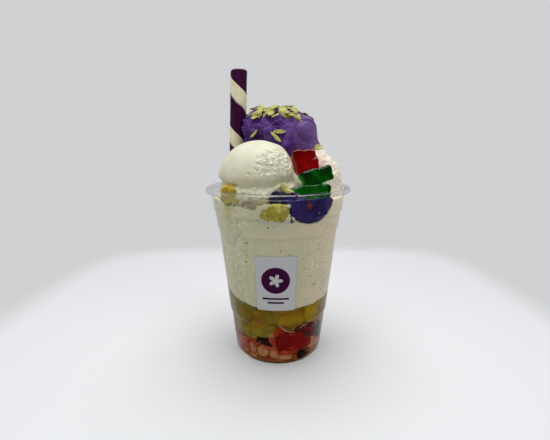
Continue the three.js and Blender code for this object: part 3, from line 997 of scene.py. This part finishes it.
def scoop_ball(name, node, material, slot, flatness, relief, is_rough):
    """A ball round its CAD solid's box; relief(azimuth, height, point) adds to its radius. The
    mesh is finer where is_rough(azimuth, height) says so."""
    lo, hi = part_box(node)
    radius = Vector(((hi.x - lo.x) / 2, (hi.y - lo.y) / 2, (hi.x - lo.x) / 2 * flatness))
    centre = Vector(((lo.x + hi.x) / 2, (lo.y + hi.y) / 2, hi.z - radius.z))
    ball = bmesh.new()
    bmesh.ops.create_icosphere(ball, subdivisions=6, radius=1.0)
    rough = [f for f in ball.faces if is_rough(*around(f.calc_center_median().normalized()))]
    edges = list({edge for face in rough for edge in face.edges})
    bmesh.ops.subdivide_edges(ball, edges=edges, cuts=1)
    bmesh.ops.triangulate(ball, faces=[f for f in ball.faces if len(f.verts) > 3])
    for v in ball.verts:
        unit = v.co.normalized()
        skin = scaled(unit, radius)
        v.co = press_to_wall(centre + skin + unit * relief(*around(unit), skin), reach=0.2 * MM)
    mesh = bpy.data.meshes.new(name)
    ball.to_mesh(mesh)
    ball.free()
    shade_smooth(mesh)
    return settle(add_object(name, mesh, material), slot, node)


def vanilla_relief(azimuth, height, p):
    """A smooth ball, torn and pitted at the right front, with an undercut low down and a
    ragged skirt below it."""
    edge = 7 * fbm(p, 8 * MM, 3, 4.0)
    torn = ease(azimuth - 0.3 * (height - 20) + edge, -14, 2) * (1 - ease(azimuth + edge, 66, 84))
    torn *= ease(height + edge, 5, 13) * (1 - ease(height + edge, 40, 54))
    rows = Vector((p.x, p.y, 2.2 * p.z + 0.35 * p.x))
    pits = 0.7 * ease(fbm(rows, 5.0 * MM, 4, 1.0), -0.1, 0.6)
    pits += 0.6 * ease(fbm(rows, 2.4 * MM, 3, 2.0), 0.0, 0.6)
    lumps = 0.5 * (pebbles(rows, 2.6 * MM, 6.0) - 0.6) + 0.2 * fbm(p, 1.3 * MM, 3, 5.0)
    grit = 0.35 * (pebbles(rows, 1.4 * MM, 3.0) - 0.6)
    tear = 0.65 - pits + lumps + grit
    smooth = 0.15 * fbm(p, 14 * MM, 2, 3.0)
    low = height - 5 * ease(azimuth, 8, 45) + 2.5 * fbm(p, 5 * MM, 3, 6.0)
    undercut = -3.0 * hump(low, 0, 6)
    far_side = hump(azimuth, 96, 38)
    narrower = far_side * (0.8 * hump(height, 55, 12) - 3.6 * hump(height, -2, 32))
    low_edge = -15 + 10 * ease(azimuth, 8, 42)
    below = ease(-low, 2, 6)
    skirt = 1.6 * ease(azimuth, -46, -26) * (1 - ease(low_edge - height, 0, 5)) * below
    skirt *= 1 + 0.35 * fbm(p, 4 * MM, 3, 8.0)
    crumbs = below * (0.55 * (pebbles(p, 1.9 * MM, 5.0) - 0.6) + 0.5 * fbm(p, 2.2 * MM, 4))
    return MM * (smooth + torn * tear + undercut + narrower + skirt + crumbs)


def ube_relief(azimuth, height, p):
    """Crumbly all round but for the right side, which is smooth, with folds and a bulge."""
    edge = 9 * fbm(p, 9 * MM, 3, 9.0)
    right = ease(azimuth - 0.35 * (height - 30) + edge, 0, 12)
    right *= 1 - ease(abs(azimuth) + edge, 105, 125)
    right *= 1 - ease(height + edge, 52, 62)
    slant = Vector((p.x, p.y, 1.3 * p.z + 0.5 * p.x))
    crumbs = 0.8 * (pebbles(slant, 5.5 * MM, 7.0) - 0.6)
    crumbs += 1.2 * (pebbles(slant, 2.4 * MM, 3.0) - 0.6)
    crumbs += 1.5 * fbm(slant, 6 * MM, 5, 2.0) + 0.6 * (pebbles(p, 1.3 * MM, 6.0) - 0.6)
    crumbs *= 1 - 0.55 * ease(abs(azimuth), 105, 150)
    lean = math.radians(azimuth - 0.5 * height)
    folds = 0.6 * math.sin(9.5 * lean + 1.6 * fbm(p, 14 * MM, 2, 1.0))
    folds += 0.25 * fbm(p, 5 * MM, 2, 5.0)
    lobe = math.hypot((azimuth - 49) / 19, (height - 24) / 17)
    bulge = 2.2 * (1 - ease(lobe, 0.55, 1.0)) - 1.0 * hump(lobe, 1.1, 0.14)
    notch = -3.0 * hump(azimuth, 50, 9) * hump(height, 48, 6)
    flare = 2.6 * hump(height, -4, 8) * hump(azimuth, 80, 24)
    shoulder = (4.8 * hump(height, 44, 19) - 2.6 * hump(height, 12, 13)) * hump(azimuth, -85, 42)
    shoulder += 0.5 * hump(height, 62, 12) + 3.9 * hump(height, 33, 16) * hump(azimuth, 86, 26)
    flap = 2.3 * hump(azimuth + 0.8 * (height - 20), -18, 9) * hump(height, 22, 11)
    side = (1 - right) * crumbs * (1 - 0.7 * hump(azimuth, -18, 12) * hump(height, 20, 10))
    smooth = right * (folds * min(1, lobe) + bulge)
    return MM * (side + smooth + notch + flare + shoulder + flap - 0.3)


def strawberry_relief(_azimuth, _height, p):
    """Rough all over, in lumps that are taller than wide."""
    along = Vector((p.x, p.y, p.z * 0.55))
    rough = 0.6 * (pebbles(along, 3.0 * MM, 4.0) - 0.6) + 0.7 * fbm(along, 3.2 * MM, 4, 7.0)
    return MM * (rough + 0.8 * fbm(p, 11 * MM, 2, 8.0) + 0.3 * (pebbles(p, 1.4 * MM, 9.0) - 0.6))


def make_scoops():
    """The three scoops; gives the ube scoop, which carries the flakes."""
    scoop_ball(
        "vanilla_ball", "vanilla_scoop", vanilla_cream(), "vanilla_ice_cream", 1.0, vanilla_relief,
        lambda azimuth, height: -50 < azimuth < 85 and -20 < height < 55,
    )
    scoop_ball(
        "strawberry_ball", "strawberry_scoop", strawberry_cream(), "strawberry_ice_cream", 1.0,
        strawberry_relief, lambda azimuth, height: 20 < azimuth < 110 and 0 < height < 60,
    )
    return scoop_ball(
        "ube_ball", "ube_scoop", ube_cream(), "ube_ice_cream", 0.96, ube_relief,
        lambda azimuth, height: abs(azimuth) < 105 and -5 < height < 60,
    )


# ---------------------------------------------------------------- jam, fruit and jelly on top
def lap_over(node):
    """A film of the milky ice on the wall that laps raggedly over the borders of a fruit piece."""
    lo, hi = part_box(node)
    middle, half = (lo + hi) / 2, (hi - lo) / 2
    step, margin = 0.3 * MM, 3.0 * MM
    columns = int((hi.x - lo.x + margin) / step)
    rows = int((hi.z - lo.z + margin + 0.4 * MM) / step)
    front, back, filled = [], [], []
    for j in range(rows + 1):
        z = lo.z - margin + j * step
        for i in range(columns + 1):
            x = lo.x - margin + i * step
            for sheet, lift in ((front, 0.30 * MM), (back, 0.16 * MM)):
                r = inner_radius(z) + lift
                sheet.append(Vector((x, -math.sqrt(r * r - x * x), z)))
    width = columns + 1
    for j in range(rows):
        for i in range(columns):
            p = front[j * width + i]
            u = (p.x - middle.x - 0.1 * half.x) / half.x
            w = (p.z - middle.z - 0.12 * half.z) / half.z
            away = abs(u - 0.25 * w) ** 2.2 + abs(w) ** 2.2 + 0.55 * fbm(p, 4.5 * MM, 4, 3.0)
            top = hi.z - 0.5 * MM + 1.2 * MM * fbm(p, 3 * MM, 3, 5.0)
            if 0.8 < away < 2.2 and p.z < top:
                filled.append((i, j))
    film = thin_sheet("milk_ice_film", front, back, width, filled, ICE)
    settle(soften(film, 3), "milk_ice")


def lumpy(size, height, seed):
    """A move that makes a surface uneven, and presses it to the wall."""
    return lambda p, n: press_to_wall(p + n * (HALF_GAP + height * fbm(p, size, 3, seed)))


def make_jam():
    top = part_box("ube_jam")[1].z
    swell = lumpy(5 * MM, 0.5 * MM, 1.0)

    def smeared(p, n):
        """The jam's top is smeared a little up the scoop at its left, and is lower at its right."""
        q = p.copy()
        right = ease(p.x, 8 * MM, 13 * MM)
        rise = 2.4 * ease(-p.y, 26 * MM, 36 * MM) * (1 - right) - 2.0 * right
        q.z += rise * MM * ease(p.z, top - 3.4 * MM, top)
        return swell(q, n)

    spread = fine_copy("ube_jam_spread", "ube_jam", jam(), 0.55 * MM, 14)
    settle(move_points(spread, smeared), "ube_jam", "ube_jam")


def make_fruit():
    """The two pieces of fruit at the wall."""
    colours = ((0.54, 0.48, 0.09), (0.41, 0.36, 0.045), (0.64, 0.60, 0.29))
    pale = soft_fruit("yellow_fruit", colours, 6 * MM)
    yellow = fine_copy("yellow_fruit_piece", "yellow_fruit", pale, 0.45 * MM, 12)
    settle(move_points(yellow, lumpy(6 * MM, 0.8 * MM, 2.0)), "yellow_fruit", "yellow_fruit")

    colours = ((0.64, 0.42, 0.045), (0.50, 0.33, 0.03), (0.72, 0.55, 0.16))
    deep = soft_fruit("golden_fruit", colours, 4 * MM, milky=(0.58, 0.53, 0.21))
    golden = fine_copy("golden_fruit_piece", "golden_fruit", deep, 0.35 * MM, 10)
    fuller = lumpy(3.4 * MM, 0.45 * MM, 3.0)
    foot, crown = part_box("golden_fruit")

    def smaller(p, n):
        """Its crown stands lower and its left side further in."""
        q = p + n * 0.9 * MM
        q.z -= 1.2 * MM * ease(p.z, foot.z, crown.z)
        q.x += 1.4 * MM * ease(-p.x, -crown.x, -foot.x)
        return fuller(q, n)

    settle(move_points(golden, smaller), "golden_fruit", "golden_fruit")


def make_scraps():
    """A pocket of greyer milk under the rim, darkened by painted shade under the vanilla scoop's
    skirt, with a flake in it, a drop of jam on the lip, and a red scrap in the jam."""
    pocket = against_wall(
        grain((17 * MM, 2.4 * MM, 5.4 * MM), 4.0, 4), -21, 110.0 * MM, -0.14 * MM, 4
    )
    # painted shade: the pocket's dark tan stands for the shadowed hollow under the vanilla scoop's
    # skirt, over greyer milk
    milk_and_painted_shade = plain("painted_shade_milk_pocket", (0.36, 0.325, 0.20), 0.4, 0.1)
    joined("painted_shade_milk_pocket", [pocket], milk_and_painted_shade, "milk_ice")
    bit = against_wall(
        grain((4.6 * MM, 2 * MM, 1.6 * MM), 2.0, 3), -25, 110.2 * MM, -0.2 * MM, -8
    )
    joined("milk_pocket_flake", [bit], plain("milk_flake", (0.78, 0.74, 0.60)), "milk_ice")
    lip = outward(12, 0) * (CUP_RADIUS - 0.4 * MM) + UP * (CUP_TOP - 1.0 * MM)
    drop = put(grain((1.7 * MM, 1.2 * MM, 1.7 * MM), 6.0, 3), lip, facing(12))
    joined("ube_jam_drop", [drop], jam(), "ube_jam")
    scrap = against_wall(
        chunk((7.0 * MM, 3 * MM, 4.6 * MM), 2.0, 0.95), 23.5, 111.4 * MM, -0.3 * MM, 24
    )
    red = soft_fruit("red_scrap", ((0.19, 0.045, 0.05), (0.12, 0.03, 0.045)), 3 * MM)
    joined("red_bean_scrap", [scrap], red, "ube_jam")


def make_jellies():
    red = gel("red_jelly", (0.30, 0.002, 0.002), (0.76, 0.0, 0.0), 700, clearness=0.65)
    green = gel("green_jelly", (0.02, 0.60, 0.03), (0.0, 0.68, 0.0), 1050)
    lighter = gel("green_jelly_light", (0.04, 0.74, 0.04), (0.02, 0.76, 0.02), 620)
    # node: material, slot, how far its left end thins
    for node, material, slot, thinning in (
        ("red_jelly", red, "red_jelly", 0.0),
        ("green_jelly_upper", green, "green_jelly", 0.1),
        ("green_jelly_lower", lighter, "green_jelly", 0.75),
    ):
        cube = fine_copy(node + "_cube", node, material, 0.4 * MM, 36)
        seed = 1.3 * len(node)
        lo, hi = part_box(node)
        middle = (lo + hi) / 2

        def move(p, n):
            uneven = 0.55 * fbm(p, 6.5 * MM, 2, seed) + 0.3 * (pebbles(p, 7 * MM, seed) - 0.5)
            q = p + n * MM * (0.35 + uneven)
            thin = 1 - thinning * (1 - ease(p.x, lo.x, lo.x + 9 * MM))
            y, z = middle.y + (q.y - middle.y) * thin, middle.z + (q.z - middle.z) * thin
            return Vector((q.x, y, z))

        move_points(cube, move)
        cube.visible_shadow = False
        settle(cube, slot, node)


# ---------------------------------------------------------------- wafer stick and flakes
def make_wafer():
    """A rolled wafer: a thin sheet wound round, whose edge runs down it as a slow helix. Its
    upper end leans to the right."""
    lo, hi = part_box("wafer_stick")
    centre = Vector(((lo.x + hi.x) / 2, (lo.y + hi.y) / 2, 0))
    radius = (hi.x - lo.x) / 2 - 0.1 * MM
    pitch, cream_share, drop = 33 * MM, 0.36, 17.5 * MM
    lean_from = 138 * MM
    sides, rows, bends = 96, 300, 8
    bore, bore_depth, chamfer = 1.5 * MM, 3.0 * MM, 0.3 * MM
    rim = 1.5 * MM
    profile = [(0, lo.z), (radius - 0.8 * MM, lo.z)]
    profile += [(radius, lo.z + (hi.z - lo.z - rim) * i / rows) for i in range(rows + 1)]
    for i in range(1, bends + 1):
        a = math.pi / 2 * i / bends
        profile.append((radius - rim + rim * math.cos(a), hi.z - rim + rim * math.sin(a)))
    profile += [(bore + chamfer, hi.z), (bore, hi.z - chamfer), (bore, hi.z - bore_depth)]
    profile += [(0, hi.z - bore_depth)]
    stripes = wafer_stripes(centre, hi.z - drop, pitch, cream_share)
    stick = lathe("wafer_roll", profile, sides, stripes)

    def move(p, _):
        x, y = p.x, p.y
        r = math.hypot(x, y)
        if r > bore + 0.5 * MM:
            turn = math.atan2(y, x) / (2 * math.pi)
            phase = ((hi.z - drop - p.z) / pitch - turn) % 1.0
            step = 0.16 * MM * (1 - phase) - 0.12 * MM * hump(phase, 0.0, 0.012)
            wave = 0.08 * MM * fbm(p, 6 * MM, 2, 3.0)
            x, y = x * (1 + (step + wave) / r), y * (1 + (step + wave) / r)
        lean = -0.9 * MM + 2.4 * MM * max(0.0, (p.z - lean_from) / (hi.z - lean_from))
        return Vector((x + lean, y, p.z)) + centre

    settle(move_points(stick, move), "wafer", "wafer_stick")


def outward(azimuth, height):
    a, e = math.radians(azimuth), math.radians(height)
    return Vector((math.sin(a) * math.cos(e), -math.cos(a) * math.cos(e), math.sin(e)))


def make_flakes(ube):
    """Flakes strewn over the ube scoop's crown, and a few that slid down its front."""
    draw = random.Random(31)
    count = 115
    pale, toasted = [], []
    surface = tree_of(ube)
    lo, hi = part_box("ube_scoop")
    centre = (lo + hi) / 2

    def lay(azimuth, height, length, width, spin, tilt, lift, kind):
        aim = outward(azimuth, height)
        hit = surface.ray_cast(centre + aim * 60 * MM, -aim)[0]
        basis = aim.to_track_quat("Z", "Y").to_matrix() @ Matrix.Rotation(spin, 3, "Z")
        basis = basis @ Matrix.Rotation(tilt, 3, "Y")
        part = flake(length * MM, width * MM, 0.8 * MM, draw.uniform(0, 6))
        kind.append(put(part, hit + aim * lift * MM, basis))

    for i in range(count):
        azimuth = draw.uniform(-180, 180)
        spread = 42 + 13 * abs(math.sin(math.radians(azimuth)))
        height = 90 - spread * draw.random() ** 0.55
        lay(
            azimuth, height, draw.uniform(5.0, 7.8), draw.uniform(3.4, 5.0),
            draw.uniform(0, math.pi), draw.uniform(-0.55, 0.55), draw.uniform(0.1, 1.9),
            toasted if i % 4 == 0 else pale,
        )
    # stray flakes: azimuth, height, length, width, turn
    for azimuth, height, length, width, spin in (
        (0, 16.5, 8.0, 2.2, 0.05), (-4.5, 8, 9.0, 2.3, -0.75), (-42, 13.5, 6.5, 2.6, 0.9),
    ):
        lay(azimuth, height, length, width, spin, 0.12, 0.7, pale)
    # flakes caught between the pieces: kind, place in mm, length, width, turn, lean back
    for kind, place, length, width, spin, lean in (
        (pale, (25.4, -14, 143.6), 6.0, 4.2, 0.5, 0.5),
        (toasted, (3.4, -41.0, 121.2), 7.4, 3.3, -0.95, 0.4),
        (pale, (6.4, -41.8, 119.4), 6.4, 3.0, -0.55, 0.4),
        (toasted, (7.4, -42.0, 118.2), 4.0, 2.6, 0.2, 0.6),
    ):
        basis = Matrix.Rotation(math.pi / 2 - lean, 3, "X") @ Matrix.Rotation(spin, 3, "Z")
        part = flake(length * MM, width * MM, 0.9 * MM, draw.uniform(0, 6))
        kind.append(put(part, Vector(place) * MM, basis))
    joined("rice_flakes", pale, plain("rice_flake", (0.58, 0.57, 0.15)), "ube_ice_cream")
    brown = plain("rice_flake_toasted", (0.44, 0.41, 0.08))
    joined("rice_flakes_toasted", toasted, brown, "ube_ice_cream")


# ---------------------------------------------------------------- studio
BACKDROP = (0.63, 0.635, 0.645)
AROUND = (0.50, 0.505, 0.515)
AMBIENT = (0.25, 0.25, 0.255)
OPENING = (0.035, 0.035, 0.04)


def make_floor():
    """A pale table top that fades into the backdrop a hand's breadth behind the cup."""
    size, fade_from, fade_to = 1.2, 0.207, 0.256
    corners = [(-size, -size, 0), (size, -size, 0), (size, size, 0), (-size, size, 0)]
    s = Shader("table_top", (0.90, 0.91, 0.93), 0.6)
    sixths = [s.math("POWER", s.away(s.axis(axis)), 6) for axis in ("X", "Y")]
    distance = s.math("POWER", s.math("ADD", *sixths), 1 / 6)
    clear = s.node("ShaderNodeBsdfTransparent").outputs[0]
    fade = s.ramp(distance, fade_from, fade_to)
    s.feed(s.output.inputs["Surface"], s.blend(fade, s.surface.outputs[0], clear))
    table = mesh_object("table_top", corners, [(0, 1, 2, 3)], s.material, smooth=False)
    table.visible_glossy = False
    table.visible_transmission = False


def make_world():
    """A pale backdrop that shows plainly. As light it is weaker from above, and clear and glossy
    surfaces mirror a dark opening in front, as in a light tent."""
    world = bpy.data.worlds.new("studio")
    bpy.context.scene.world = world
    world.use_nodes = True
    w = Nodes(world.node_tree)

    def sky(colour):
        return w.node("ShaderNodeBackground", {0: colour}).outputs[0]

    towards = w.node("ShaderNodeTexCoord").outputs["Generated"]
    direction = w.node("ShaderNodeSeparateXYZ", {0: towards}).outputs
    path = w.node("ShaderNodeLightPath").outputs
    mirrored = w.blend(w.ramp(direction["Y"], -0.15, 0.55), sky(OPENING), sky(AROUND))
    ambient = w.blend(w.ramp(direction["Z"], -0.15, 0.05), sky(AROUND), sky(AMBIENT))
    lit = w.blend(w.ramp(path["Diffuse Depth"], 0.0, 1.0), mirrored, ambient)
    seen = w.blend(path["Is Camera Ray"], lit, sky(BACKDROP))
    w.feed(w.tree.nodes["World Output"].inputs[0], seen)


def area_light(name, place, aim, size, power, mirrored=True):
    data = bpy.data.lights.new(name, "AREA")
    data.shape = "RECTANGLE"
    data.size, data.size_y = size
    data.energy = power
    lamp = add_object(name, data)
    lamp.location = place
    lamp.visible_glossy = mirrored
    lamp.rotation_euler = (Vector(aim) - Vector(place)).to_track_quat("-Z", "Y").to_euler()


def make_lights():
    aim = (0, 0, 0.1)
    area_light("overhead", (0.0, 0.04, 0.75), aim, (0.7, 0.6), 4.5)
    area_light("right_fill", (0.6, -0.55, 0.3), aim, (0.5, 0.4), 0.9, mirrored=False)
    area_light("left_fill", (-0.6, -0.5, 0.3), aim, (0.5, 0.4), 0.7, mirrored=False)


def make_camera():
    """A close camera, a little above the rim, that looks down at the cup."""
    data = bpy.data.cameras.new("camera")
    data.sensor_width = 36
    data.lens = 22.97
    data.clip_start = 0.005
    camera = add_object("camera", data)
    down, roll = math.radians(12.46), math.radians(-0.24)
    place = (-2.05 * MM, -240.7 * MM, 146.8 * MM)
    turn = Matrix.Rotation(math.pi / 2 - down, 4, "X") @ Matrix.Rotation(roll, 4, "Z")
    camera.matrix_world = Matrix.Translation(place) @ turn
    bpy.context.scene.camera = camera
    bpy.context.scene.view_settings.view_transform = "Standard"


make_camera()
make_world()
make_lights()
make_floor()
make_cup()
make_label()
make_milk_ice()
make_specks()
make_core(
    "fruit_core", "fruit_layer",
    soft_fruit("fruit_core", FRUIT_COLOURS, 10 * MM),
    2.4 * MM, 1.0 * MM, "fruit_syrup",
)
make_core(
    "bean_core", "bean_jelly_layer",
    soft_fruit("bean_core", BEAN_COLOURS, 8 * MM),
    3.2 * MM, 1.6 * MM, "bean_syrup",
)
make_syrup()
make_sunk_pieces()
make_bubbles()
ube_ball = make_scoops()
make_jam()
make_fruit()
lap_over("yellow_fruit")
make_scraps()
make_jellies()
make_wafer()
make_flakes(ube_ball)
